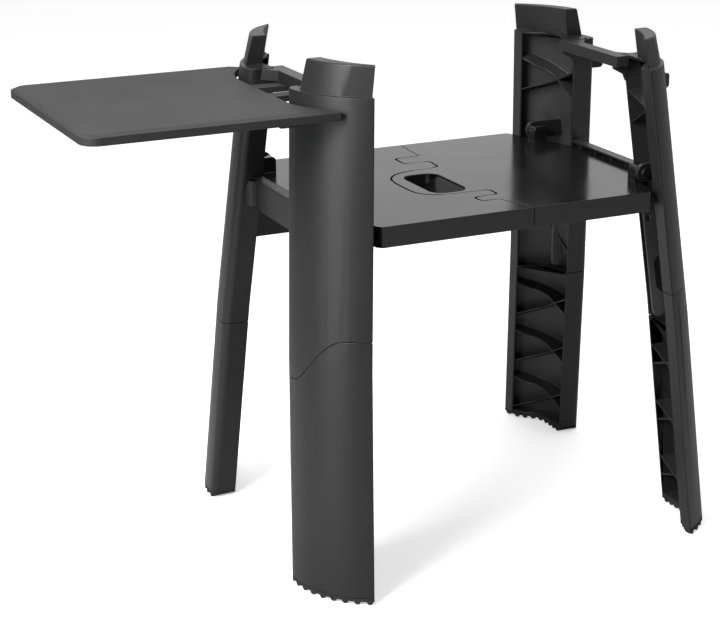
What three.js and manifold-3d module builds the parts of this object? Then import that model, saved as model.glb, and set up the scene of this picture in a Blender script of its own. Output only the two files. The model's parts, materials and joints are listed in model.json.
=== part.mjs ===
// Folding stand for a table-top appliance, in moulded black plastic. Two side frames, each with two
// legs, stand left and right. A shelf in two halves joins them: lifting its handle folds it up in the
// middle and brings the side frames together. The lower legs unclip, and a side table hangs on the left.
// Millimetres, +Z up, X to the right, Y to the back. The floor is z = 0. Every leg is modelled in the
// quarter where x and y are positive and mirrored into place.
import * as THREE from "three";
import { mergeVertices } from "three/addons/utils/BufferGeometryUtils.js";
import Module from "manifold-3d";

const wasm = await Module();
wasm.setup();

// ---- driving dimensions -------------------------------------------------------------------------
const WALL = 3; // moulded wall
const FIT = 0.4; // gap between pieces that touch
const FLATNESS = 0.25; // how far a facet may stand off its curve

// Leg: a channel, open towards the inside of the stand. Its section is given at floor level.
const ARC = { x: 193.8, y: 157.8, r: 115.9, end: 64.5 }; // outer wall: centre, radius, end angle
const FLANGE = { x: 274.6, y: 144.5, corner: 11 }; // flange facing the other leg
const FREE_EDGE = { x: 241.5, lip: 22 }; // return lip at the free end of the arc
const KINK_Z = 300; // the legs splay less above this height
const LOW_LEAN = { x: 0.055, y: 0.124 }; // lean towards the middle, per mm of height
const HIGH_LEAN = { x: 0.0765, y: 0.132 };
const SHOULDER_Z = 640; // top of the leg

// Seam between the upper and the lower leg: an S along the wall, from the flange to the free edge.
const SEAM = { low: 274.5, high: 339, start: 165, end: 245, gap: 0.8 };
const COLLAR = { thickness: 2, above: 9, below: 7 }; // spigot of the lower leg inside the upper one

// Ribs inside a leg: heights at the free edge and at the flange.
const LOWER_RIB_PITCH = 82;
const LOWER_RIBS = { falling: [241, 202], rising: [170, 231], count: 3 };
const UPPER_RIBS = { falling: [610, 544], rising: [541, 591] };
const LEG_CLOSURE = [261, 271]; // closing rib at the top of the lower leg
const SHELF_RIB_Z = 440;
const RIB_EDGE = [[275, 200], [269, 213], [255, 225], [244, 240]]; // where ribs and plates end, inside

// Foot
const SOLE = { top: 8, tread: 4, bars: 9, barRadius: 4.4 };

// Crescent post on top of the leg. Its outline at the foot and at the top: the centre and radius of the
// outer arc, the place where the arc ends on the wall, the bend of the inner face, and the thin end.
const POST = {
  low: { x: 151.3, y: 75.7, r: 111.9, wallX: 237, wallY: 92, pull: [231, 138], tip: [200, 175] },
  high: { x: 141, y: 78, r: 110.5, wallX: 231, wallY: 90, pull: [222, 135], tip: [193.5, 171] },
  top: 679.5,
  scoopStart: 44, // where the shallow flat begins at the foot, in degrees round the arc
  scoopTop: 672, // height of the flat at the thin end
};

// Crossbar and shelf-height rail of a side frame
const CROSSBAR = { inner: 214, outer: 234, bottom: 624.5, top: 639.5, reach: 76 };
const BRACE = { y0: 65.5, y1: 70, width: 3, foot: 604 }; // web under each end of the crossbar
const RAIL = { inner: 243, outer: 259, bottom: 446, top: 488, reach: 84 };
const RAIL_WALLS = [-60, -20, 20, 60];

// Tool hook and the window above it
const HOOK = { y0: 79, y1: 92, root: 266, tip: 290.5, tipWidth: 7.5, bottom: 593, bar: 604.5, top: 613.3 };
const WINDOW = { y0: 78, y1: 93, bottom: 604.5, top: 618.5 };

// Shelf
const SHELF = { x: 241, y: 197, top: 480.6, bottom: 453, deck: 3.2 };
const SHELF_CORNER = [[86, 241], [124, 226], [161, 209], [190, 203]]; // y and x down to the front edge
const SHELF_SEAM = { x: 19.9, thin: 1, wide: 2.6 }; // place of its ends, and its widths
const HAND_HOLE = { x0: -64, x1: -12, y0: -80, y1: 27, r: 18 };

// Plate in the back leg of each frame, under the corner of the shelf
const GUSSET = { x0: 165, x1: 269, y0: 150, y1: 152.4, z0: 384, z1: 445 };

// Hinges. Both axes run along Y.
const OUTER_HINGE = { x: 217, z: 494, armRadius: 12.5, hole: 4.4, pin: 4, head: 7 };
const LUG = { half: 11, rise: 8.5, corner: 6, skin: 3 }; // its closed side hides the end of the pin
const LUG_Y = [126, 144];
const ARM_Y = [145, 152];
const PIN_HEAD = 3.2;
const CENTRE_HINGE = { x: 0, z: 458, radius: 6.5, hole: 2.9, pin: 2.5, head: 4.5 };
const RIGHT_KNUCKLES = [[148, 158], [172, 182]];
const LEFT_KNUCKLE = [160, 170];

// Leg latch: a tongue that hangs inside the upper leg and catches the lower one
const LATCH = { x0: 263.5, x1: 282, y: 172.5, thickness: 2.6, top: 437.5, bottom: 281 };

// Side table
const TABLE = { outer: 566, half: 170, top: 627, rim: 624, bottom: 613.8, corner: 22, bevel: 8, gap: 4.5 };
const TABLE_RIBS = { x: [340, 420, 500], y: [-120, -60, 0, 60, 120] };
const TABLE_HOOK = { y0: 18, y1: 42, thickness: 8, lip: 5, lipTop: 634 };

// ---- solids -------------------------------------------------------------------------------------
function solidOf(geometry) {
  const plain = geometry.index ? geometry.toNonIndexed() : geometry.clone();
  plain.deleteAttribute("normal");
  plain.deleteAttribute("uv");
  const merged = mergeVertices(plain, 1e-4);
  const made = new wasm.Mesh({
    numProp: 3,
    vertProperties: new Float32Array(merged.attributes.position.array),
    triVerts: new Uint32Array(merged.index.array),
  });
  return new wasm.Manifold(made);
}

function geometryOf(solid) {
  const mesh = solid.getMesh();
  const geometry = new THREE.BufferGeometry();
  geometry.setAttribute("position", new THREE.BufferAttribute(mesh.vertProperties, 3));
  geometry.setIndex(new THREE.BufferAttribute(mesh.triVerts, 1));
  return geometry;
}

const join = (solids) => solids.reduce((a, b) => a.add(b));
const cut = (solid, tools) => tools.reduce((a, b) => a.subtract(b), solid);

// The same solid seen in a mirror across the plane x = 0 or y = 0.
function mirrored(solid, axis) {
  const geometry = geometryOf(solid);
  geometry.scale(axis === "x" ? -1 : 1, axis === "y" ? -1 : 1, 1);
  const index = geometry.index.array;
  for (let i = 0; i < index.length; i += 3) {
    [index[i + 1], index[i + 2]] = [index[i + 2], index[i + 1]];
  }
  return solidOf(geometry);
}

const radians = THREE.MathUtils.degToRad;

// Outline from a list of points, each given once.
function polygon(points) {
  const differs = ([a, b], i) => {
    const [c, d] = points[(i + points.length - 1) % points.length];
    return Math.hypot(a - c, b - d) > 0.01;
  };
  return new THREE.Shape(points.filter(differs).map(([a, b]) => new THREE.Vector2(a, b)));
}

// Points along an arc, its angles in degrees.
function arcPoints([x, y], radius, from, to, pieces = 0) {
  const step = 2 * Math.acos(1 - FLATNESS / radius);
  const count = pieces || Math.ceil(Math.abs(radians(to - from)) / step);
  return Array.from({ length: count + 1 }, (_, i) => {
    const angle = radians(THREE.MathUtils.lerp(from, to, i / count));
    return [x + radius * Math.cos(angle), y + radius * Math.sin(angle)];
  });
}

// Points along a bend from one place to another, pulled towards a third.
function bendPoints(from, pull, to, pieces = 4) {
  const [a, b, c] = [from, pull, to].map(([x, y]) => new THREE.Vector2(x, y));
  return new THREE.QuadraticBezierCurve(a, b, c).getPoints(pieces).map((p) => [p.x, p.y]);
}

function extrusion(shape, depth, steps = 1) {
  return new THREE.ExtrudeGeometry(shape, { depth, steps, bevelEnabled: false });
}

// A prism standing on z0, from an outline in X and Y.
function uprightPrism(shape, z0, z1) {
  return solidOf(extrusion(shape, z1 - z0).translate(0, 0, z0));
}

// A prism from one outline at z0 to another at z1, which has the same number of points.
function taperedPrism(lowShape, highShape, z0, z1) {
  const low = lowShape.getPoints();
  const high = highShape.getPoints();
  const geometry = extrusion(new THREE.Shape(low), z1 - z0);
  const position = geometry.attributes.position;
  for (let i = 0; i < position.count; i += 1) {
    const here = new THREE.Vector2(position.getX(i), position.getY(i));
    const place = low.findIndex((p) => p.distanceTo(here) < 1e-3);
    if (position.getZ(i) > 0.1) {
      position.setXY(i, high[place].x, high[place].y);
    }
  }
  return solidOf(geometry.translate(0, 0, z0));
}

// A prism along Y, from an outline in X and Z.
function prismAlongY(shape, y0, y1) {
  return solidOf(extrusion(shape, y1 - y0).rotateX(Math.PI / 2).translate(0, y1, 0));
}

// A prism along X, from an outline in Y and Z.
function alongX(shape, x0, x1) {
  const turn = new THREE.Matrix4().makeBasis(
    new THREE.Vector3(0, 1, 0),
    new THREE.Vector3(0, 0, 1),
    new THREE.Vector3(1, 0, 0),
  );
  return extrusion(shape, x1 - x0).applyMatrix4(turn).translate(x0, 0, 0);
}

function box(x0, x1, y0, y1, z0, z1) {
  const geometry = new THREE.BoxGeometry(x1 - x0, y1 - y0, z1 - z0);
  return solidOf(geometry.translate((x0 + x1) / 2, (y0 + y1) / 2, (z0 + z1) / 2));
}

// A cylinder along Y.
function rod(radius, x, z, y0, y1, sides = 16) {
  const geometry = new THREE.CylinderGeometry(radius, radius, y1 - y0, sides);
  return solidOf(geometry.translate(x, (y0 + y1) / 2, z));
}

// ---- the lean of a leg --------------------------------------------------------------------------
// How far a leg has moved towards the middle of the stand at height z.
function leanAt(z) {
  const low = Math.min(z, KINK_Z);
  const high = Math.max(z - KINK_Z, 0);
  return {
    x: low * LOW_LEAN.x + high * HIGH_LEAN.x,
    y: low * LOW_LEAN.y + high * HIGH_LEAN.y,
  };
}

function leaned(geometry) {
  const position = geometry.attributes.position;
  for (let i = 0; i < position.count; i += 1) {
    const lean = leanAt(position.getZ(i));
    position.setX(i, position.getX(i) - lean.x);
    position.setY(i, position.getY(i) - lean.y);
  }
  return geometry;
}

// A prism that follows the leg from z0 to z1, from an outline at floor level.
function leaningPrism(shape, z0, z1) {
  const levels = z0 < KINK_Z && z1 > KINK_Z ? [z0, KINK_Z, z1] : [z0, z1];
  const steps = levels.length - 1;
  const geometry = extrusion(shape, steps, steps);
  const position = geometry.attributes.position;
  for (let i = 0; i < position.count; i += 1) {
    position.setZ(i, levels[Math.round(position.getZ(i))]);
  }
  return solidOf(leaned(geometry));
}

const onArc = (radius, degrees) => arcPoints([ARC.x, ARC.y], radius, degrees, degrees, 1)[0];

// Outline of the leg, from the free edge round the corner to the flange's end, moved inwards by the
// inset.
function outsidePoints(inset) {
  const radius = ARC.r - inset;
  const side = ARC.x + radius;
  const front = FLANGE.y + inset;
  return [
    [FREE_EDGE.x + inset, onArc(radius, ARC.end)[1]],
    ...arcPoints([ARC.x, ARC.y], radius, ARC.end, 0),
    ...bendPoints([side, ARC.y], [side, front], [side - FLANGE.corner, front]),
    [FLANGE.x + inset / 2, front],
  ];
}

// Part of the wall between two insets, without the lip at the free edge.
function wallBand(outerInset, innerInset) {
  const strip = (inset) => {
    const radius = ARC.r - inset;
    const side = ARC.x + radius;
    const front = FLANGE.y + inset;
    return [
      ...arcPoints([ARC.x, ARC.y], radius, ARC.end - 4, 0, 14),
      ...bendPoints([side, ARC.y], [side, front], [side - FLANGE.corner, front]),
      [FLANGE.x + 2, front],
    ];
  };
  return polygon([...strip(outerInset), ...strip(innerInset).reverse()]);
}

function channelShape() {
  const inner = ARC.r - WALL;
  const side = ARC.x + inner;
  const front = FLANGE.y + WALL;
  const lipY = onArc(ARC.r, ARC.end)[1] - FREE_EDGE.lip;
  return polygon([
    ...outsidePoints(0),
    [FLANGE.x, front],
    ...bendPoints([side - FLANGE.corner, front], [side, front], [side, ARC.y]),
    ...arcPoints([ARC.x, ARC.y], inner, 0, ARC.end - 1.2),
    [FREE_EDGE.x + WALL, lipY],
    [FREE_EDGE.x, lipY],
  ]);
}

// Everything between the wall and the line where the ribs end. An inset of half the wall keeps ribs
// and plates off the outer face.
function insideShape(inset = WALL / 2) {
  return polygon([...outsidePoints(inset), ...RIB_EDGE]);
}

// A slanted plate across the leg, from its height at the free edge to its height at the flange.
function rib([edgeZ, flangeZ], thickness = 2.4) {
  const near = FLANGE.y - 5;
  const far = ARC.y + ARC.r;
  const [, edgeY] = onArc(ARC.r, ARC.end);
  const slope = (edgeZ - flangeZ) / (edgeY - FLANGE.y);
  const at = (y) => flangeZ + slope * (y - FLANGE.y);
  const plate = polygon([
    [near, at(near)],
    [far, at(far)],
    [far, at(far) + thickness],
    [near, at(near) + thickness],
  ]);
  return solidOf(leaned(alongX(plate, 200, 330)));
}

// Everything above the seam, or everything below it, once the seam is moved up by the shift.
function sideOfSeam(above, shift) {
  const far = above ? 660 : -10;
  const steps = 12;
  const curve = [[130, SEAM.low + shift]];
  for (let i = 0; i <= steps; i += 1) {
    const y = THREE.MathUtils.lerp(SEAM.start, SEAM.end, i / steps);
    const rise = THREE.MathUtils.smoothstep(y, SEAM.start, SEAM.end);
    curve.push([y, THREE.MathUtils.lerp(SEAM.low, SEAM.high, rise) + shift]);
  }
  curve.push([290, SEAM.high + shift], [290, far], [130, far]);
  // The outline turns the other way round below the seam, and ExtrudeGeometry puts that right.
  return solidOf(leaned(alongX(polygon(curve), 190, 330)));
}

// ---- side frame ---------------------------------------------------------------------------------
function upperLeg() {
  const inside = leaningPrism(insideShape(), SEAM.low - 10, SHOULDER_Z);
  const ribs = [rib(UPPER_RIBS.falling), rib(UPPER_RIBS.rising), rib([SHELF_RIB_Z, SHELF_RIB_Z])];
  const topPlate = leaningPrism(insideShape(), SHOULDER_Z - 4, SHOULDER_Z);
  const channel = leaningPrism(channelShape(), SEAM.low - 10, SHOULDER_Z);
  const wall = channel.intersect(sideOfSeam(true, SEAM.gap / 2));
  return join([wall, join(ribs).intersect(inside), topPlate]);
}

// Crescent post, narrower at its top, with a shallow flat on its outer face at the thin end.
function post() {
  const low = crescentShape(POST.low);
  const high = crescentShape(POST.high);
  return taperedPrism(low, high, SHOULDER_Z - 2, POST.top).subtract(postScoop());
}

function crescentShape({ x, y, r, wallX, wallY, pull, tip }) {
  const start = THREE.MathUtils.radToDeg(Math.asin((wallY - y) / r));
  const end = THREE.MathUtils.radToDeg(Math.atan2(tip[1] - y, tip[0] - x));
  const outerFace = arcPoints([x, y], r, start, end, 12);
  return polygon([...outerFace, ...bendPoints(tip, pull, [wallX, wallY], 7)]);
}

// The flat passes through two places at the foot of the post and one below the top of its thin end.
function postScoop() {
  const share = (POST.scoopTop - SHOULDER_Z) / (POST.top - SHOULDER_Z);
  const at = (degrees, rise) => {
    const between = (key) => THREE.MathUtils.lerp(POST.low[key], POST.high[key], rise);
    const centre = [between("x"), between("y")];
    const [x, y] = arcPoints(centre, between("r"), degrees, degrees, 1)[0];
    return new THREE.Vector3(x, y, THREE.MathUtils.lerp(SHOULDER_Z, POST.top, rise));
  };
  const start = at(POST.scoopStart, 0);
  const deep = at(ARC.end, 0).sub(new THREE.Vector3(0.3, 0.6, 0));
  const top = at(ARC.end, share);
  const along = deep.clone().sub(start).normalize();
  const normal = new THREE.Vector3().crossVectors(along, top.clone().sub(start)).normalize();
  const outward = new THREE.Vector3(1, 1, 0);
  if (normal.dot(outward) < 0) {
    normal.negate();
  }
  const side = new THREE.Vector3().crossVectors(normal, along);
  const turn = new THREE.Matrix4().makeBasis(along, side, normal);
  const [size, depth] = [160, 40];
  const block = new THREE.BoxGeometry(size, size, depth).translate(0, 0, depth / 2).applyMatrix4(turn);
  return solidOf(block.translate(start.x, start.y, start.z));
}

function toolHook() {
  const { root, tip, tipWidth, bottom, bar, top } = HOOK;
  const profile = polygon([
    [root, bottom],
    [tip - 3, bottom],
    [tip, bottom + 3],
    [tip, top - 2],
    [tip - 2, top],
    [tip - tipWidth + 1, top],
    [tip - tipWidth, top - 1],
    [tip - tipWidth, bar + 2],
    [tip - tipWidth - 2, bar],
    [root, bar],
  ]);
  return prismAlongY(profile, HOOK.y0, HOOK.y1);
}

// Arm inside the leg that carries the shelf's pin.
function hingeArm() {
  const { x, z, armRadius, hole } = OUTER_HINGE;
  const shape = polygon([
    ...arcPoints([x, z], armRadius, 90, 270),
    [x + 60, z - armRadius],
    [x + 60, z + armRadius],
  ]);
  const solid = prismAlongY(shape, ...ARM_Y).subtract(rod(hole, x, z, ARM_Y[0] - 1, ARM_Y[1] + 1));
  const hull = polygon([...outsidePoints(WALL / 2), [150, FLANGE.y], [150, 260]]);
  return solid.intersect(leaningPrism(hull, 460, 530));
}

function crossbar() {
  const { inner, outer, bottom, top, reach } = CROSSBAR;
  const bar = box(inner, outer, -reach, reach, bottom, top);
  const corner = [[outer - 1, reach - 34], [outer + 18, reach - 10], [outer - 1, reach - 10]];
  const flare = uprightPrism(polygon(corner), bottom, top);
  const brace = polygon([
    [outer + BRACE.width, bottom + 1],
    [inner, bottom + 1],
    [inner, bottom - BRACE.width],
    [outer - 4, BRACE.foot + 9],
    [outer, BRACE.foot],
    [outer + BRACE.width, BRACE.foot],
  ]);
  const end = join([flare, prismAlongY(brace, BRACE.y0, BRACE.y1)]);
  return join([bar, end, mirrored(end, "y")]);
}

// The rail is a channel that opens towards the shelf, closed by cross walls.
function rail() {
  const { inner, outer, bottom, top, reach } = RAIL;
  const profile = polygon([
    [inner, bottom],
    [outer, bottom],
    [outer, top],
    [inner, top],
    [inner, top - WALL],
    [outer - WALL, top - WALL],
    [outer - WALL, bottom + WALL],
    [inner, bottom + WALL],
  ]);
  const walls = RAIL_WALLS.map((y) => box(inner + 2, outer - 1, y - 1.2, y + 1.2, bottom + 1, top - 1));
  return join([prismAlongY(profile, -reach, reach), ...walls]);
}

function sideFrame() {
  const gusset = box(GUSSET.x0, GUSSET.x1, GUSSET.y0, GUSSET.y1, GUSSET.z0, GUSSET.z1);
  const leg = join([upperLeg(), post(), toolHook(), hingeArm()]);
  const window = box(HOOK.root - 8, HOOK.root + 10, WINDOW.y0, WINDOW.y1, WINDOW.bottom, WINDOW.top);
  const open = cut(leg, [window]);
  return join([open, mirrored(open, "y"), gusset, crossbar(), rail()]);
}

// ---- lower leg, sole and latch ------------------------------------------------------------------
function lowerLeg() {
  const bottom = SOLE.top + FIT;
  const inside = leaningPrism(insideShape(), bottom, LEG_CLOSURE[1] + 20);
  const ribs = [rib(LEG_CLOSURE)];
  for (let i = 0; i < LOWER_RIBS.count; i += 1) {
    const drop = i * LOWER_RIB_PITCH;
    ribs.push(rib(LOWER_RIBS.falling.map((z) => z - drop)));
    ribs.push(rib(LOWER_RIBS.rising.map((z) => z - drop)));
  }
  const channel = leaningPrism(channelShape(), bottom, SEAM.high + 10);
  const wall = channel.intersect(sideOfSeam(false, -SEAM.gap / 2));
  const footPlate = leaningPrism(insideShape(), bottom, bottom + WALL);
  return join([wall, join(ribs).intersect(inside), footPlate, collar()]);
}

// The collar stands up inside the upper leg, so that the seam can't be seen through.
function collar() {
  const inner = WALL + FIT + COLLAR.thickness;
  const [low, high] = [SEAM.low - COLLAR.below, SEAM.high + COLLAR.above];
  const ring = leaningPrism(wallBand(WALL + FIT, inner), low, high);
  const root = leaningPrism(wallBand(WALL / 2, inner), low, high);
  const ringBelow = ring.intersect(sideOfSeam(false, COLLAR.above));
  const rootBelow = root.intersect(sideOfSeam(false, -SEAM.gap));
  return ringBelow.add(rootBelow).intersect(sideOfSeam(true, -COLLAR.below));
}

// Flat pad under the foot with half-round bars across it.
function sole() {
  const pad = leaningPrism(insideShape(0), SOLE.tread, SOLE.top);
  const inside = leaningPrism(insideShape(0), 0, SOLE.top);
  const bars = [];
  for (let i = 0; i < SOLE.bars; i += 1) {
    const degrees = THREE.MathUtils.lerp(-3, ARC.end - 2, i / (SOLE.bars - 1));
    const [x, y] = onArc(ARC.r - 20, degrees);
    const bar = new THREE.CylinderGeometry(SOLE.barRadius, SOLE.barRadius, 90, 8)
      .rotateZ(Math.PI / 2)
      .rotateZ(radians(degrees))
      .translate(x, y, SOLE.barRadius);
    bars.push(solidOf(bar));
  }
  return pad.add(join(bars).intersect(inside));
}

// The tongue is broad at the top, narrow beside its notch, and ends in a round catch.
function legLatch() {
  const { x0, x1, y, thickness, top, bottom } = LATCH;
  const radius = (x1 - x0) / 2;
  const shape = polygon([
    [x0, top],
    ...arcPoints([x0 + radius, bottom + radius], radius, 180, 360),
    ...bendPoints([x1, bottom + 34], [x1 - 9, bottom + 38], [x1 - 9, bottom + 48]),
    [x1 - 9, bottom + 78],
    [x1, bottom + 86],
    [x1, top],
  ]);
  const eye = arcPoints([x0 + 7, top - 17], 4, 360, 0, 12).slice(1);
  shape.holes.push(new THREE.Path(eye.map(([a, b]) => new THREE.Vector2(a, b))));
  const plate = extrusion(shape, thickness).rotateX(Math.PI / 2).translate(0, y + thickness, 0);
  const position = plate.attributes.position;
  const foot = leanAt(KINK_Z);
  for (let i = 0; i < position.count; i += 1) {
    const above = position.getZ(i) - KINK_Z;
    position.setX(i, position.getX(i) - foot.x - above * HIGH_LEAN.x);
    position.setY(i, position.getY(i) - foot.y - above * HIGH_LEAN.y);
  }
  return solidOf(plate);
}

// ---- shelf --------------------------------------------------------------------------------------
// Outline of the whole shelf, moved inwards by the inset.
function shelfShape(inset) {
  const corner = [...SHELF_CORNER, [SHELF.y, SHELF.y]].map(([y, x]) => [x - inset, y - inset]);
  const turned = [...corner].reverse();
  return polygon([
    ...corner,
    ...turned.map(([x, y]) => [-x, y]),
    ...corner.map(([x, y]) => [-x, -y]),
    ...turned.map(([x, y]) => [x, -y]),
  ]);
}

// The line where the halves meet, from the back edge to the front edge, as stretches of one width. The
// right half's handle and its two tabs reach over the left half, and two fingers of the left half reach
// back. The seam is wide round the tabs' ends and the handle.
function seamStretches() {
  const { x, thin, wide } = SHELF_SEAM;
  const [backEdge, frontEdge] = [SHELF.y, -SHELF.y];
  return [
    [thin, [[x, backEdge + 20], [x, backEdge - 1], [14.5, 125], [-19, 122.5]]],
    [wide, bendPoints([-19, 122.5], [-25, 122], [-25.5, 116], 3)],
    [wide, bendPoints([-26, 97], [-26.5, 91], [-20, 91], 3)],
    [thin, [[-20, 91], [6, 88]]],
    [wide, bendPoints([6, 88], [12.5, 88], [12, 82], 3)],
    [wide, bendPoints([10.5, 61], [10, 55], [4, 53.5], 3)],
    [thin, [[4, 53.5], [-8, 49], [-34, 49]]],
    [wide, bendPoints([-34, 49], [-64, 46], [-77, 26], 5)],
    [wide, [...bendPoints([-77, 26], [-86, 12], [-86, -14]), [-86, -50]]],
    [wide, bendPoints([-86, -50], [-84, -80], [-58, -86], 5)],
    [thin, [[-58, -86], [-40, -89], [-13, -89.5], [5, -91]]],
    [wide, bendPoints([5, -91], [11, -91], [11, -97], 3)],
    [wide, bendPoints([11, -109], [11, -115], [5, -115.5], 3)],
    [thin, [[5, -115.5], [-9, -116.5], [-20, -118]]],
    [wide, bendPoints([-20, -118], [-27, -119], [-26.5, -126], 3)],
    [wide, bendPoints([-26, -132], [-25, -139], [-17, -139], 3)],
    [thin, [[-17, -139], [-1, -139.5], [x, frontEdge + 5], [x, frontEdge - 20]]],
  ];
}

// A thin wall along the seam, as wide as the gap between the halves.
function seamSlot() {
  const pieces = [];
  let last = null;
  seamStretches().forEach(([width, stretch]) => {
    stretch.forEach(([x, y]) => {
      const here = new THREE.Vector2(x, y);
      if (last && last.distanceTo(here) > 0.01) {
        const wall = new THREE.BoxGeometry(last.distanceTo(here) + width, width, 60)
          .rotateZ(Math.atan2(here.y - last.y, here.x - last.x))
          .translate((last.x + here.x) / 2, (last.y + here.y) / 2, SHELF.bottom);
        pieces.push(solidOf(wall));
      }
      last = here;
    });
  });
  return join(pieces);
}

function rightOfSeam() {
  const outline = polygon([...seamStretches().flatMap(([, stretch]) => stretch), [300, -215], [300, 215]]);
  return uprightPrism(outline, SHELF.bottom - 20, SHELF.top + 20);
}

function handHoleShape(grow) {
  const { x0, x1, y0, y1, r } = HAND_HOLE;
  const [left, right, front, back] = [x0 - grow, x1 + grow, y0 - grow, y1 + grow];
  const corner = r + grow;
  return polygon([
    ...arcPoints([right - corner, back - corner], corner, 0, 90, 5),
    ...arcPoints([left + corner, back - corner], corner, 90, 180, 5),
    ...arcPoints([left + corner, front + corner], corner, 180, 270, 5),
    ...arcPoints([right - corner, front + corner], corner, 270, 360, 5),
  ]);
}

// Deck with an apron round its outer edge and shallow ribs underneath.
function shelfTray(ribXs, ribYs, [ribStart, ribEnd]) {
  const under = SHELF.top - SHELF.deck;
  const block = uprightPrism(shelfShape(0), SHELF.bottom, SHELF.top);
  const hollow = uprightPrism(shelfShape(WALL), SHELF.bottom - 1, under);
  const ribBottom = SHELF.bottom + 8;
  const ribs = [
    ...ribXs.map((x) => box(x - 1, x + 1, -SHELF.y, SHELF.y, ribBottom, under + 1)),
    ...ribYs.map((y) => box(ribStart, ribEnd, y - 1, y + 1, ribBottom, under + 1)),
  ];
  return block.subtract(hollow).add(join(ribs).intersect(block));
}

// Lug over the shelf's outer corner, on the outer hinge axis.
function shelfLug(side, [y0, y1]) {
  const { x, z, hole } = OUTER_HINGE;
  const { half, rise, corner, skin } = LUG;
  const shape = polygon([
    ...arcPoints([x + half - corner, z + rise - corner], corner, 0, 90, 5),
    ...arcPoints([x - half + corner, z + rise - corner], corner, 90, 180, 5),
    [x - half, SHELF.bottom + 10],
    [x + half - 4, SHELF.bottom + 10],
    [x + half, SHELF.bottom + 20],
  ]);
  const [holeStart, holeEnd] = y0 > 0 ? [y0 + skin, y1 + 1] : [y0 - 1, y1 - skin];
  const lug = prismAlongY(shape, y0, y1).subtract(rod(hole, x, z, holeStart, holeEnd));
  return side > 0 ? lug : mirrored(lug, "x");
}

const bothEnds = ([y0, y1]) => [[y0, y1], [-y1, -y0]];

function shelfLugs(side) {
  return bothEnds(LUG_Y).map((span) => shelfLug(side, span));
}

// Knuckle on the centre hinge axis, with the arm that joins it to its own half.
function knuckle(side, [y0, y1]) {
  const { x, z, radius } = CENTRE_HINGE;
  const under = SHELF.top - SHELF.deck + 1;
  const eye = rod(radius, x, z, y0, y1);
  const arm =
    side > 0
      ? [box(0, 32, y0, y1, z - 6, z + 5), box(21, 32, y0, y1, z, under)]
      : [box(-14, 0, y0, y1, z - 4, under)];
  return join([eye, ...arm]);
}

function pinHoles() {
  const { x, z, hole } = CENTRE_HINGE;
  return bothEnds([140, 190]).map(([y0, y1]) => rod(hole, x, z, y0, y1));
}

function rightShelfHalf() {
  const tray = shelfTray([64, 128, 186], [-110, 0, 110], [24, SHELF.x]);
  const half = tray.intersect(rightOfSeam()).subtract(seamSlot());
  const rimBottom = SHELF.bottom + 3;
  const rim = uprightPrism(handHoleShape(WALL), rimBottom, SHELF.top);
  const hole = uprightPrism(handHoleShape(0), SHELF.bottom - 20, SHELF.top + 1);
  const scoop = polygon([
    [HAND_HOLE.x1 + 1, SHELF.top - 1],
    [HAND_HOLE.x1 - 20, rimBottom],
    [HAND_HOLE.x1 + 1, rimBottom],
  ]);
  const ramp = prismAlongY(scoop, HAND_HOLE.y0 + 1, HAND_HOLE.y1 - 1).intersect(rim);
  const knuckles = RIGHT_KNUCKLES.flatMap(bothEnds).map((span) => knuckle(1, span));
  const body = join([half, rim]).subtract(hole);
  return cut(join([body, ramp, ...knuckles, ...shelfLugs(1)]), pinHoles());
}

function leftShelfHalf() {
  const tray = shelfTray([-186, -122], [-150, 110], [-SHELF.x, -60]);
  const handleRoom = box(-92, 40, -96, 62, SHELF.bottom - 5, SHELF.top - SHELF.deck);
  const half = cut(tray, [rightOfSeam(), seamSlot(), handleRoom]);
  const knuckles = bothEnds(LEFT_KNUCKLE).map((span) => knuckle(-1, span));
  return cut(join([half, ...knuckles, ...shelfLugs(-1)]), pinHoles());
}

// ---- pins ---------------------------------------------------------------------------------------
function headedPin({ x, z, pin, head }, [headStart, shaftStart, end]) {
  const profile = [
    [0, headStart],
    [head - 1, headStart],
    [head, headStart + 1],
    [head, shaftStart],
    [pin, shaftStart],
    [pin, end - 1],
    [pin - 1, end],
    [0, end],
  ].map(([r, y]) => new THREE.Vector2(r, y));
  return solidOf(new THREE.LatheGeometry(profile, 16).translate(x, 0, z));
}

// ---- side table ---------------------------------------------------------------------------------
// Outline of the table top: straight outer edge, and an inner edge that wraps the two legs.
function tableShape(inset) {
  const lean = leanAt(TABLE.bottom);
  const [cx, cy] = [ARC.x - lean.x, ARC.y - lean.y];
  const radius = ARC.r + TABLE.gap + inset;
  const half = TABLE.half - inset;
  const outer = TABLE.outer - inset;
  const corner = TABLE.corner - inset;
  const tip = THREE.MathUtils.radToDeg(Math.asin((half - 4 - cy) / radius));
  const [tipX] = arcPoints([cx, cy], radius, tip, tip, 1)[0];
  return polygon([
    ...arcPoints([cx, cy], radius, 0, tip, 7),
    [tipX + 3, half],
    ...arcPoints([outer - corner, half - corner], corner, 90, 0, 6),
    ...arcPoints([outer - corner, -half + corner], corner, 0, -90, 6),
    [tipX + 3, -half],
    ...arcPoints([cx, -cy], radius, -tip, 0, 7),
  ]);
}

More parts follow.
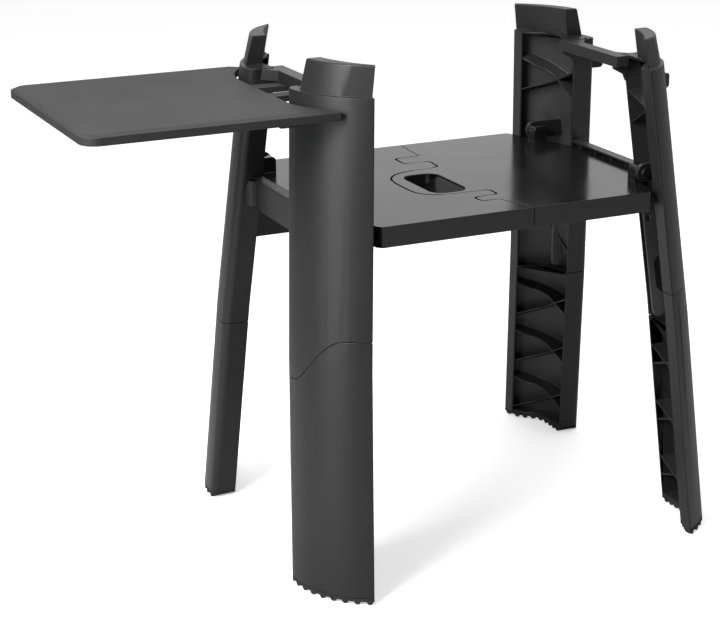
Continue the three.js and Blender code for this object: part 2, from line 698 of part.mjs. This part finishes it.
// The top's rim slopes down to a skirt. Ribs stiffen the underside, and pads rest on the tool hooks.
function sideTable() {
  const shape = tableShape(0);
  const skirt = uprightPrism(shape, TABLE.bottom, TABLE.rim);
  const top = taperedPrism(shape, tableShape(TABLE.bevel), TABLE.rim - 0.5, TABLE.top);
  const under = TABLE.rim - 1;
  const hollow = uprightPrism(tableShape(WALL), TABLE.bottom - 1, under);
  const inner = ARC.x - leanAt(TABLE.bottom).x + ARC.r + TABLE.gap;
  const ribBottom = TABLE.bottom + WALL;
  const ribs = [
    ...TABLE_RIBS.y.map((y) => box(inner, TABLE.outer, y - 1, y + 1, ribBottom, under + 1)),
    ...TABLE_RIBS.x.map((x) => box(x - 1, x + 1, -TABLE.half, TABLE.half, ribBottom, under + 1)),
  ];
  const tray = skirt.add(top).subtract(hollow).add(join(ribs).intersect(skirt));
  const pads = bothEnds([HOOK.y0 - 2, HOOK.y1 + 2]).map(([y0, y1]) => {
    return box(inner + 6, inner + 20, y0, y1, TABLE.bottom, under + 1);
  });
  const tabs = bothEnds([WINDOW.y0 + 2, WINDOW.y1 - 2]).map(([y0, y1]) => {
    return box(HOOK.root + 0.5, inner + 1, y0, y1, TABLE.bottom + 0.2, TABLE.bottom + 3.5);
  });
  const hooks = bothEnds([TABLE_HOOK.y0, TABLE_HOOK.y1]).map(([y0, y1]) => tableHook(inner, y0, y1));
  return join([tray, ...pads, ...tabs, ...hooks]);
}

// Hook that runs under the crossbar and turns up behind it.
function tableHook(start, y0, y1) {
  const top = CROSSBAR.bottom - 0.5;
  const bottom = top - TABLE_HOOK.thickness;
  const face = CROSSBAR.inner - 0.5;
  const profile = polygon([
    [start + 1.5, bottom],
    [start + 1.5, top],
    [face, top],
    [face, TABLE_HOOK.lipTop - 2],
    [face - 2, TABLE_HOOK.lipTop],
    [face - TABLE_HOOK.lip, TABLE_HOOK.lipTop],
    [face - TABLE_HOOK.lip, bottom + 4],
    [face - TABLE_HOOK.lip + 4, bottom],
  ]);
  return prismAlongY(profile, y0, y1);
}

// ---- assembly -----------------------------------------------------------------------------------
const plastic = (colour, roughness) =>
  new THREE.MeshStandardMaterial({ color: colour, roughness, metalness: 0 });
const framePlastic = () => plastic(0x1d1d1f, 0.55);
const shelfPlastic = () => plastic(0x151516, 0.3);
const rubber = () => plastic(0x101010, 0.9);
const steel = () => new THREE.MeshStandardMaterial({ color: 0x8a8c8f, roughness: 0.35, metalness: 1 });

function piece(name, solid, material) {
  const mesh = new THREE.Mesh(geometryOf(solid), material);
  mesh.name = name;
  return mesh;
}

// One side frame with its lower legs, soles, latches and pins, in the half where x is positive.
function sideGroup(side) {
  const group = new THREE.Group();
  group.add(piece(`${side}_side_frame`, sideFrame(), framePlastic()));
  [["back", 1], ["front", -1]].forEach(([end, sign]) => {
    const corner = new THREE.Group();
    corner.scale.y = sign;
    corner.add(piece(`${side}_${end}_lower_leg`, lowerLeg(), framePlastic()));
    corner.add(piece(`${side}_${end}_foot_sole`, sole(), rubber()));
    corner.add(piece(`${side}_${end}_leg_latch`, legLatch(), framePlastic()));
    const shaftStart = -ARM_Y[1] - FIT;
    const pin = headedPin(OUTER_HINGE, [shaftStart - PIN_HEAD, shaftStart, -LUG_Y[0] - LUG.skin - FIT]);
    corner.add(piece(`${side}_${end}_shelf_pin`, mirrored(pin, "y"), steel()));
    group.add(corner);
  });
  return group;
}

function centrePins() {
  const group = new THREE.Group();
  [["back", 1], ["front", -1]].forEach(([end, sign]) => {
    const shaftStart = RIGHT_KNUCKLES[0][0] - FIT;
    const pin = headedPin(CENTRE_HINGE, [shaftStart - PIN_HEAD, shaftStart, RIGHT_KNUCKLES[1][1] + 2]);
    const mesh = piece(`${end}_centre_pin`, pin, steel());
    mesh.scale.y = sign;
    group.add(mesh);
  });
  return group;
}

const stand = new THREE.Group();
const rightSide = sideGroup("right");
const leftSide = sideGroup("left");
leftSide.scale.x = -1;
leftSide.add(piece("side_table", sideTable(), framePlastic()));
stand.add(rightSide, leftSide, centrePins());
stand.add(piece("right_shelf_half", rightShelfHalf(), shelfPlastic()));
stand.add(piece("left_shelf_half", leftShelfHalf(), shelfPlastic()));

// The origin is on the floor under the middle of the whole object, side table included.
const legReach = ARC.x + ARC.r;
stand.position.x = (TABLE.outer - legReach) / 2;

export default stand;
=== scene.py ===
# Looks of the folding appliance stand: rounded edges, moulded plastic, small moulded details, studio light.
# Metres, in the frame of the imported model. The stand's own middle is halfway between its side frames.
import json
import math

import bpy
from mathutils import Matrix, Vector


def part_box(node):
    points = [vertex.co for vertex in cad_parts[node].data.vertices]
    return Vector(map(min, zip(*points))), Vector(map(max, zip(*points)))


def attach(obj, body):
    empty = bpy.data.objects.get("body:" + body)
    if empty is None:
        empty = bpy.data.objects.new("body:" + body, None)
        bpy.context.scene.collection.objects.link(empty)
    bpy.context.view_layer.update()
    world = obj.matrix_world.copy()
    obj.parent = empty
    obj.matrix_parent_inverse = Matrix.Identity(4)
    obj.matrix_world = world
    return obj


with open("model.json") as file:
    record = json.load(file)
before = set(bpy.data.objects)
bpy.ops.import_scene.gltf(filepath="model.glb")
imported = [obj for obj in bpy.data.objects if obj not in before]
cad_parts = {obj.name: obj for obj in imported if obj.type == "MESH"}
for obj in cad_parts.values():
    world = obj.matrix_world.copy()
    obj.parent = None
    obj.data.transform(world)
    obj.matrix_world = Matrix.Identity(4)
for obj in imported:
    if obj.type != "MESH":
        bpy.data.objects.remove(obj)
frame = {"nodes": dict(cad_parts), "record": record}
bpy.context.view_layer.update()
nodes = frame["nodes"]
MM = 0.001

# ---- places taken from the frame ----------------------------------------------------------------
SIDES = ("left", "right")
ENDS = ("back", "front")
mounts = {mount["name"]: Vector(mount["pos_m"]) for mount in frame["record"]["mounts"]}
stand_x = (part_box("left_side_frame")[0].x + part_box("right_side_frame")[1].x) / 2
POST_TOP_Z = mounts["right_back_post_top"].z
SHOULDER_Z = mounts["right_crossbar_top"].z - 6 * MM
SHELF_TOP_Z = mounts["shelf_top_right"].z
SHELF_BOTTOM_Z = min(corner[2] for corner in nodes["left_shelf_half"].bound_box)

# ---- sizes --------------------------------------------------------------------------------------
CLOSE = 0.05 * MM  # corners nearer than this to a height or a line count as lying on it
BROADEST_ROUND = 3 * MM
POST_ROUND = 2.4 * MM
HOLE_ROUND = 1.9 * MM
SHELF_BOTTOM_ROUND = 1 * MM
DECK_DEPTH = 4 * MM

# Places in plan are measured from the middle of the stand.
HAND_HOLE = {"low": Vector((-64, -80)) * MM, "high": Vector((-12, 27)) * MM}
RAIL_OUTSIDE = 259 * MM
FLANGE_FACE = 85.3 * MM
FAIRING = {"reach": 15 * MM, "sink": 2.5 * MM, "low": 449 * MM, "high": 485 * MM, "steps": 6}
LEDGE = {"towards_handle": 0.9 * MM, "outward": 6 * MM}  # its reach from the middle of the seam
LEDGE_DEPTHS = (7 * MM, 3.2 * MM)  # under the shelf's top


# ---- node materials -----------------------------------------------------------------------------
class Shader:
    """A node material under construction, with short calls for the nodes that every finish uses."""

    def __init__(self, name):
        self.material = bpy.data.materials.new(name)
        self.material.use_nodes = True
        self.tree = self.material.node_tree
        self.principled = self.tree.nodes["Principled BSDF"]
        self.place = self.tree.nodes.new("ShaderNodeTexCoord").outputs["Object"]

    def node(self, kind, inputs=None, **settings):
        made = self.tree.nodes.new(kind)
        for key, value in settings.items():
            setattr(made, key, value)
        for key, value in (inputs or {}).items():
            if isinstance(value, bpy.types.NodeSocket):
                self.tree.links.new(value, made.inputs[key])
            else:
                made.inputs[key].default_value = value
        return made

    def stretched(self, scale):
        return self.node("ShaderNodeMapping", {"Vector": self.place, "Scale": scale}).outputs[0]

    def noise(self, scale, detail=2.0, vector=None):
        where = self.place if vector is None else vector
        inputs = {"Vector": where, "Scale": scale, "Detail": detail, "Roughness": 0.5}
        return self.node("ShaderNodeTexNoise", inputs).outputs["Fac"]

    def ranged(self, value, low, high, start=0.3, end=0.7):
        inputs = {"Value": value, "From Min": start, "From Max": end, "To Min": low, "To Max": high}
        return self.node("ShaderNodeMapRange", inputs).outputs["Result"]

    def between(self, factor, first, second):
        mix = self.node("ShaderNodeMix", data_type="RGBA")
        self.tree.links.new(factor, mix.inputs["Factor"])
        mix.inputs["A"].default_value = (*first, 1)
        mix.inputs["B"].default_value = (*second, 1)
        return mix.outputs["Result"]

    def bump(self, height, strength, distance, below=None):
        inputs = {"Height": height, "Strength": strength, "Distance": distance}
        if below is not None:
            inputs["Normal"] = below
        return self.node("ShaderNodeBump", inputs).outputs["Normal"]

    def finish(self, **inputs):
        for key, value in inputs.items():
            socket = self.principled.inputs[key.replace("_", " ")]
            if isinstance(value, bpy.types.NodeSocket):
                self.tree.links.new(value, socket)
            else:
                socket.default_value = value
        return self.material


def grey(value, tint=0.0):
    """A grey, made a little bluer by the tint."""
    return (value, value, value * (1 + tint))


def textured_plastic(name, tone, roughness, shine=0.35):
    """Black plastic from a spark-eroded mould: a fine grain, faint clouds and upright streaks of sheen."""
    grain, mottle = 0.35, 0.12
    shader = Shader(name)
    clouds = shader.noise(9, 4)
    flow = shader.noise(6, 3, shader.stretched((1, 1, 0.12)))
    tint = shader.ranged(clouds, 0, 1)
    colour = shader.between(tint, grey(tone * (1 - mottle), 0.03), grey(tone * (1 + mottle), 0.03))
    sheen = shader.ranged(flow, roughness - 0.05, roughness + 0.06)
    coarse = shader.bump(shader.noise(900, 2), grain, 0.12 * MM)
    fine = shader.bump(shader.noise(2600, 2), grain, 0.05 * MM, coarse)
    shader.principled.inputs["Specular IOR Level"].default_value = shine
    return shader.finish(Base_Color=colour, Roughness=sheen, Normal=fine, IOR=1.5)


def polished_plastic(name, tone, roughness):
    """Smooth black plastic: a clear, slightly uneven sheen, faint ripples from cooling and dust specks."""
    shader = Shader(name)
    clouds = shader.noise(14, 5)
    specks = shader.ranged(shader.noise(1400, 2), 0, 1, 0.68, 0.8)
    colour = shader.between(specks, grey(tone), grey(tone * 3))
    sheen = shader.ranged(clouds, roughness - 0.03, roughness + 0.05)
    waves = shader.bump(shader.noise(22, 2), 0.12, 0.4 * MM)
    grain = shader.bump(shader.noise(1500, 2), 0.08, 0.05 * MM, waves)
    return shader.finish(Base_Color=colour, Roughness=sheen, Normal=grain, IOR=1.52)


def rubber_material(name):
    """Dull black rubber with a coarse grain."""
    shader = Shader(name)
    colour = shader.between(shader.ranged(shader.noise(60, 4), 0, 1), grey(0.008), grey(0.02))
    grain = shader.bump(shader.noise(1200, 3), 0.5, 0.2 * MM)
    return shader.finish(Base_Color=colour, Roughness=0.85, Normal=grain)


def blackened_steel(name):
    """Steel with a black oxide finish that is worn a little in fine spots."""
    shader = Shader(name)
    wear = shader.noise(900, 3)
    colour = shader.between(shader.ranged(wear, 0, 1), grey(0.02, 0.05), grey(0.05, 0.05))
    sheen = shader.ranged(wear, 0.32, 0.5)
    return shader.finish(Base_Color=colour, Metallic=0.8, Roughness=sheen)


LEG_OUTSIDE = textured_plastic("leg_outside", 0.014, 0.39)
# Smooth, polished plastic of the legs' hollows. Its tone is lifted above the outside's as painted light for
# the shade inside the legs.
LEG_INSIDE_POLISH_AND_LIGHT = polished_plastic("leg_inside_polish_and_light", 0.025, 0.42)
TABLE_TOP = textured_plastic("table_top", 0.02, 0.6, shine=0.28)
# Painted light: the latch's plastic gets a tone far above the legs', standing in for light on the latch,
# which sits in shade behind the leg's flange.
LATCH_PLASTIC_PAINTED_LIGHT = textured_plastic("latch_plastic_painted_light", 0.1, 0.42)
SHELF_TOP = polished_plastic("shelf_top", 0.008, 0.17)
# Painted shade: near-black, dull plastic on the seam's upright walls and the ledge under it, standing in
# for the shade deep in the gap.
SEAM_PAINTED_SHADE = textured_plastic("seam_painted_shade", 0.002, 0.8, shine=0.1)
RUBBER = rubber_material("sole_rubber_look")
STEEL = blackened_steel("pin_steel_look")


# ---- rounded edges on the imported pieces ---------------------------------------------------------
def round_edges(obj, width, segments=2):
    """Joins the flat facets, rounds the edges between them and smooths the curved walls."""
    obj.data.shade_smooth()
    weld = obj.modifiers.new("weld", "WELD")
    weld.merge_threshold = 0.01 * MM
    flat = obj.modifiers.new("flat", "DECIMATE")
    flat.decimate_type = "DISSOLVE"
    flat.angle_limit = math.radians(1)
    bevel = obj.modifiers.new("bevel", "BEVEL")
    bevel.width = width
    bevel.segments = segments
    bevel.limit_method = "ANGLE"
    bevel.angle_limit = math.radians(35)
    bevel.use_clamp_overlap = False
    normals = obj.modifiers.new("normals", "WEIGHTED_NORMAL")
    normals.keep_sharp = False
    normals.weight = 80


def weigh_rim(obj, corners, width):
    """Notes how broadly the edges between the chosen corners are to be rounded."""
    chosen = set(corners)
    name = "bevel_weight_edge"
    weights = obj.data.attributes.get(name) or obj.data.attributes.new(name, "FLOAT", "EDGE")
    for edge in obj.data.edges:
        if chosen.issuperset(edge.vertices):
            weights.data[edge.index].value = width / BROADEST_ROUND


def round_weighed_rims(obj):
    """Rounds the noted edges, each by its own share of the broadest round, before all others."""
    bevel = obj.modifiers.new("rims", "BEVEL")
    bevel.width = BROADEST_ROUND
    bevel.segments = 4
    bevel.limit_method = "WEIGHT"
    bevel.use_clamp_overlap = False
    bevel.loop_slide = False
    obj.modifiers.move(len(obj.modifiers) - 1, obj.modifiers.find("bevel"))


def paint(obj, *materials):
    obj.data.materials.clear()
    for material in materials:
        obj.data.materials.append(material)


def leg_axis(side, end):
    """Two points on the middle line of a leg: at its sole and at the flat top of its post."""
    low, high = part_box(f"{side}_{end}_foot_sole")
    return (low + high) / 2, mounts[f"{side}_{end}_post_top"]


AXES = {(side, end): leg_axis(side, end) for side in SIDES for end in ENDS}


def is_inside(place, normal):
    """True for a face that looks towards the hollow of the leg it belongs to, or lies on a rib."""
    side = "left" if place.x < stand_x else "right"
    end = "front" if place.y < 0 else "back"
    foot, top = AXES[side, end]
    middle = foot.lerp(top, place.z / top.z)
    outward = Vector((place.x - middle.x, place.y - middle.y, 0))
    return normal.dot(outward.normalized()) < -0.12 or abs(normal.z) > 0.6


def split_inside(obj):
    """Gives the faces inside the legs the second material: polished plastic whose lifted tone is painted
    light.
    """
    for polygon in obj.data.polygons:
        if 0 < polygon.center.z < SHOULDER_Z and is_inside(polygon.center, polygon.normal):
            polygon.material_index = 1



def corners_at(obj, height):
    """The corners of a piece at one height, sorted by their place in plan to a tenth of a millimetre."""
    found = {}
    for vertex in obj.data.vertices:
        if abs(vertex.co.z - height) < CLOSE:
            plan = (round(vertex.co.x / MM, 1), round(vertex.co.y / MM, 1))
            found.setdefault(plan, []).append(vertex.index)
    return found


def outline_corners(obj, height, other_height):
    """Corners on the outer wall of a shelf half, which have another corner right above or below them."""
    here = corners_at(obj, height)
    there = corners_at(obj, other_height)
    return [index for plan, indices in here.items() if plan in there for index in indices]


def hand_hole_corners(obj):
    """Corners on the top edge of the hand-hole."""
    low, high = HAND_HOLE["low"], HAND_HOLE["high"]
    chosen = []
    for vertex in obj.data.vertices:
        x, y = vertex.co.x - stand_x, vertex.co.y
        inside = low.x - CLOSE < x < high.x + CLOSE and low.y - CLOSE < y < high.y + CLOSE
        if inside and abs(vertex.co.z - SHELF_TOP_Z) < CLOSE:
            chosen.append(vertex.index)
    return chosen


def split_seam(obj):
    """Gives the deck's upright faces, apart from the outer wall, the second material: near-black painted
    shade for the seam's walls.
    """
    outer = set(outline_corners(obj, SHELF_TOP_Z, SHELF_BOTTOM_Z))
    for polygon in obj.data.polygons:
        upright = abs(polygon.normal.z) < 0.3
        in_deck = SHELF_TOP_Z - DECK_DEPTH < polygon.center.z < SHELF_TOP_Z
        if upright and in_deck and not outer.intersection(polygon.vertices):
            polygon.material_index = 1


def finish_frame(frame_node):
    paint(frame_node, LEG_OUTSIDE, LEG_INSIDE_POLISH_AND_LIGHT)
    split_inside(frame_node)
    round_edges(frame_node, 0.8 * MM)
    post_tops = corners_at(frame_node, POST_TOP_Z)
    weigh_rim(frame_node, sum(post_tops.values(), []), POST_ROUND)
    round_weighed_rims(frame_node)


def finish_lower_leg(leg):
    paint(leg, LEG_OUTSIDE, LEG_INSIDE_POLISH_AND_LIGHT)
    split_inside(leg)
    round_edges(leg, 0.7 * MM)


def finish_small_piece(obj, material, width):
    paint(obj, material)
    round_edges(obj, width)


def finish_shelf(shelf):
    paint(shelf, SHELF_TOP, SEAM_PAINTED_SHADE)
    split_seam(shelf)
    round_edges(shelf, 0.6 * MM, 3)
    weigh_rim(shelf, outline_corners(shelf, SHELF_TOP_Z, SHELF_BOTTOM_Z), BROADEST_ROUND)
    weigh_rim(shelf, outline_corners(shelf, SHELF_BOTTOM_Z, SHELF_TOP_Z), SHELF_BOTTOM_ROUND)
    weigh_rim(shelf, hand_hole_corners(shelf), HOLE_ROUND)
    round_weighed_rims(shelf)


for side in SIDES:
    finish_frame(nodes[f"{side}_side_frame"])
    for end in ENDS:
        finish_lower_leg(nodes[f"{side}_{end}_lower_leg"])
        finish_small_piece(nodes[f"{side}_{end}_foot_sole"], RUBBER, 0.3 * MM)
        finish_small_piece(nodes[f"{side}_{end}_leg_latch"], LATCH_PLASTIC_PAINTED_LIGHT, 0.6 * MM)
        finish_small_piece(nodes[f"{side}_{end}_shelf_pin"], STEEL, 0.3 * MM)
    finish_shelf(nodes[f"{side}_shelf_half"])
for end in ENDS:
    finish_small_piece(nodes[f"{end}_centre_pin"], STEEL, 0.3 * MM)
paint(nodes["side_table"], TABLE_TOP)
round_edges(nodes["side_table"], 0.8 * MM, 3)


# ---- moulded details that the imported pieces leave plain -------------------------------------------
def new_piece(mesh, material, body):
    """A piece with its mesh's name that moves with a body."""
    piece = bpy.data.objects.new(mesh.name, mesh)
    bpy.context.scene.collection.objects.link(piece)
    paint(piece, material)
    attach(piece, body)
    return piece


def prism(name, outline, low, high):
    """Closed upright prism on an outline in X and Y that runs anticlockwise."""
    count = len(outline)
    points = [(x, y, z) for z in (low, high) for x, y in outline]
    faces = [tuple(reversed(range(count))), tuple(range(count, 2 * count))]
    faces += [(i, (i + 1) % count, count + (i + 1) % count, count + i) for i in range(count)]
    mesh = bpy.data.meshes.new(name)
    mesh.from_pydata(points, [], faces)
    return mesh


def fairing_outline(x_sign, y_sign):
    """Hollow fillet between the rail's outer face and the flange of the leg it runs into."""
    reach, sink, steps = FAIRING["reach"], FAIRING["sink"], FAIRING["steps"]
    points = [(RAIL_OUTSIDE - sink, FLANGE_FACE + sink), (RAIL_OUTSIDE - sink, FLANGE_FACE - reach)]
    for step in range(steps + 1):
        angle = math.radians(90 * step / steps)
        x = RAIL_OUTSIDE + reach * (1 - math.cos(angle))
        y = FLANGE_FACE - reach * (1 - math.sin(angle))
        points.append((x, y))
    points.append((RAIL_OUTSIDE + reach, FLANGE_FACE + sink))
    placed = [(stand_x + x_sign * x, y_sign * y) for x, y in points]
    return placed if x_sign * y_sign > 0 else placed[::-1]


def add_fairings():
    """Four fillets that blend the rails at the shelf's height into the legs."""
    for side, x_sign in (("left", -1), ("right", 1)):
        for end, y_sign in (("back", 1), ("front", -1)):
            outline = fairing_outline(x_sign, y_sign)
            mesh = prism(f"{side}_{end}_rail_fairing", outline, FAIRING["low"], FAIRING["high"])
            piece = new_piece(mesh, LEG_OUTSIDE, f"{side}_frame")
            round_edges(piece, 1.2 * MM, 3)


def bend(start, pull, end, steps=6):
    """Points from start to end along a curve that is pulled towards a third point."""
    start, pull, end = Vector(start), Vector(pull), Vector(end)
    shares = [step / steps for step in range(steps + 1)]
    return [start.lerp(pull, share).lerp(pull.lerp(end, share), share) for share in shares]


def add_handle_ledge():
    """Ledge of the left shelf half under the seam round the handle, so that no light comes through it; it
    is coloured near-black with the seam's painted shade.
    """
    # The line is the middle of the seam, and runs with the handle on its left.
    line = bend((-34, 49), (-64, 46), (-77, 26)) + bend((-77, 26), (-86, 12), (-86, -14))[1:]
    line += bend((-86, -50), (-84, -80), (-58, -86))
    inner, outer = [], []
    for index, here in enumerate(line):
        before, after = line[max(index - 1, 0)], line[min(index + 1, len(line) - 1)]
        along = (after - before).normalized()
        towards_handle = Vector((-along.y, along.x))
        middle = here * MM + Vector((stand_x, 0))
        inner.append(middle + towards_handle * LEDGE["towards_handle"])
        outer.append(middle - towards_handle * LEDGE["outward"])
    outline = outer + inner[::-1]
    mesh = prism("handle_ledge", outline, *(SHELF_TOP_Z - depth for depth in LEDGE_DEPTHS))
    piece = new_piece(mesh, SEAM_PAINTED_SHADE, "left_shelf")
    round_edges(piece, 0.3 * MM)


add_fairings()
add_handle_ledge()


# ---- studio -------------------------------------------------------------------------------------
VIEW_AZIMUTH = -24.8
VIEW_ELEVATION = 18.16
VIEW_ROLL = -0.44
VIEW_DISTANCE = 2.562
VIEW_LENS = 93.2
TARGET = Vector((stand_x - 0.138, 0, 0.304))


def back_direction(azimuth, elevation):
    """Direction from the object to a place at this azimuth and elevation, seen from the front."""
    a, e = math.radians(azimuth), math.radians(elevation)
    return Vector((math.sin(a) * math.cos(e), -math.cos(a) * math.cos(e), math.sin(e)))


def aimed(obj, place, target, roll=0.0):
    turn = (target - place).to_track_quat("-Z", "Y").to_matrix()
    obj.matrix_world = (turn @ Matrix.Rotation(math.radians(roll), 3, "Z")).to_4x4()
    obj.location = place


def add_camera():
    data = bpy.data.cameras.new("camera")
    data.lens = VIEW_LENS
    data.clip_end = 100
    camera = bpy.data.objects.new("camera", data)
    bpy.context.scene.collection.objects.link(camera)
    place = TARGET + back_direction(VIEW_AZIMUTH, VIEW_ELEVATION) * VIEW_DISTANCE
    aimed(camera, place, TARGET, VIEW_ROLL)
    bpy.context.scene.camera = camera


def add_softbox(name, azimuth, elevation, distance, size, power, target=Vector((stand_x, 0, 0.4))):
    data = bpy.data.lights.new(name, "AREA")
    data.shape = "RECTANGLE"
    data.size, data.size_y = size
    data.energy = power
    light = bpy.data.objects.new(name, data)
    bpy.context.scene.collection.objects.link(light)
    light.visible_camera = False
    aimed(light, target + back_direction(azimuth, elevation) * distance, target)


def glow(tree, direction, start, end, dim, bright):
    """Brightness of the surround, from dim to bright as the look direction nears the given one."""
    coordinate = tree.nodes.new("ShaderNodeTexCoord")
    towards = tree.nodes.new("ShaderNodeVectorMath")
    towards.operation = "DOT_PRODUCT"
    towards.inputs[1].default_value = direction
    tree.links.new(coordinate.outputs["Generated"], towards.inputs[0])
    ramp = tree.nodes.new("ShaderNodeMapRange")
    ramp.interpolation_type = "SMOOTHSTEP"
    for name, value in {"From Min": start, "From Max": end, "To Min": dim, "To Max": bright}.items():
        ramp.inputs[name].default_value = value
    tree.links.new(towards.outputs["Value"], ramp.inputs["Value"])
    return ramp.outputs["Result"]


def add_world():
    """White to the camera and behind the object, dimmer on the camera's side, as in a light tent."""
    world = bpy.data.worlds.new("studio")
    bpy.context.scene.world = world
    world.use_nodes = True
    tree = world.node_tree
    behind = -back_direction(VIEW_AZIMUTH - 14, -14)
    wall = glow(tree, behind, 0.35, 0.85, 0.16, 0.9)
    ceiling = glow(tree, Vector((0, 0, 1)), 0.4, 0.9, 0.1, 0.6)
    brighter = tree.nodes.new("ShaderNodeMath")
    brighter.operation = "MAXIMUM"
    tree.links.new(wall, brighter.inputs[0])
    tree.links.new(ceiling, brighter.inputs[1])
    path = tree.nodes.new("ShaderNodeLightPath")
    seen = tree.nodes.new("ShaderNodeMix")
    seen.inputs["B"].default_value = 1.05
    tree.links.new(path.outputs["Is Camera Ray"], seen.inputs["Factor"])
    tree.links.new(brighter.outputs[0], seen.inputs["A"])
    tree.links.new(seen.outputs["Result"], tree.nodes["Background"].inputs["Strength"])
    tree.nodes["Background"].inputs["Color"].default_value = (1, 1, 1, 1)


def add_floor():
    """White paper for the camera. It throws less light on the object than white paper would."""
    mesh = bpy.data.meshes.new("floor")
    reach = 30
    corners = [(-reach, -reach, 0), (reach, -reach, 0), (reach, reach, 0), (-reach, reach, 0)]
    mesh.from_pydata(corners, [], [(0, 1, 2, 3)])
    floor = bpy.data.objects.new("floor", mesh)
    bpy.context.scene.collection.objects.link(floor)
    shader = Shader("floor_paper")
    seen = shader.node("ShaderNodeLightPath").outputs["Is Camera Ray"]
    tone = shader.between(seen, grey(0.58), grey(0.86))
    lift = shader.ranged(seen, 0, 0.5, 0, 1)
    shader.principled.inputs["Specular IOR Level"].default_value = 0.0
    shader.finish(Base_Color=tone, Roughness=0.9, Emission_Color=(1, 1, 1, 1), Emission_Strength=lift)
    mesh.materials.append(shader.material)


add_camera()
add_world()
add_floor()
add_softbox("key_light", -68, 36, 1.5, (0.7, 0.9), 43, Vector((stand_x - 0.2, -0.1, 0.55)))
add_softbox("top_light", 150, 70, 2.4, (2.4, 2.4), 28)
add_softbox("fill_light", -72, 4, 3.0, (1.2, 0.9), 18)
bpy.context.scene.view_settings.view_transform = "Standard"
